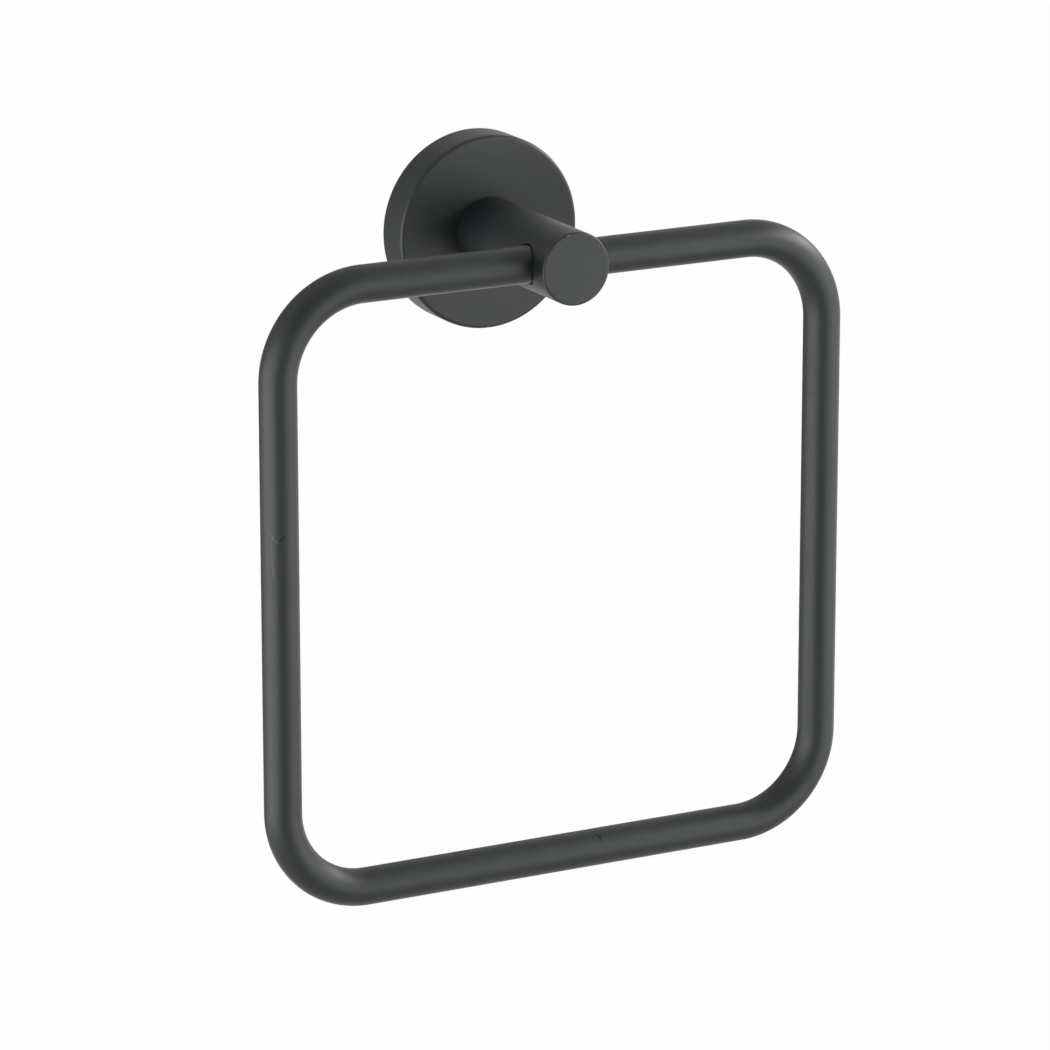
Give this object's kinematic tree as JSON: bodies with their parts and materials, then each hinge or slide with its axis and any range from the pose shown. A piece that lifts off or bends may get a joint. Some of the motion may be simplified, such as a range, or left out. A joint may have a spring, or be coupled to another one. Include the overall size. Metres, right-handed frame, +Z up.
{
  "type": "towel ring",
  "caption": "Matt black towel ring: a round wall flange and post carry a square ring of bent round tube with rounded corners, which hangs in the post's cross bore and swings.",
  "frame": {"origin": "middle of the wall flange, on the wall, midway between the two wall screw holes", "axes": "+Y into the wall along the post's axis, so the room is towards -Y; +Z up; +X to the right of a person who faces the wall, along the ring's top bar"},
  "size_m": [0.171, 0.06, 0.1942],
  "materials": {
    "black_coat": "matt black powder coat",
    "zinc_steel": "matt zinc-plated steel",
    "dark_steel": "blackened steel screw"
  },
  "bodies": {
    "wall_body": {"wall_flange": "black_coat", "post": "black_coat", "mounting_plate": "zinc_steel", "post_screw": "zinc_steel", "spring_washer": "zinc_steel", "flange_grub_screw": "dark_steel", "ring_retaining_screw": "dark_steel"},
    "ring": {"ring_tube": "black_coat", "ring_joint_pin": "zinc_steel"}
  },
  "joints": [
    {"name": "ring_swing", "type": "hinge", "parent": "wall_body", "child": "ring", "pos_m": [0, -0.049, 0], "axis": [-1, 0, 0], "range_deg": [-15.5, 195.5]}
  ]
}
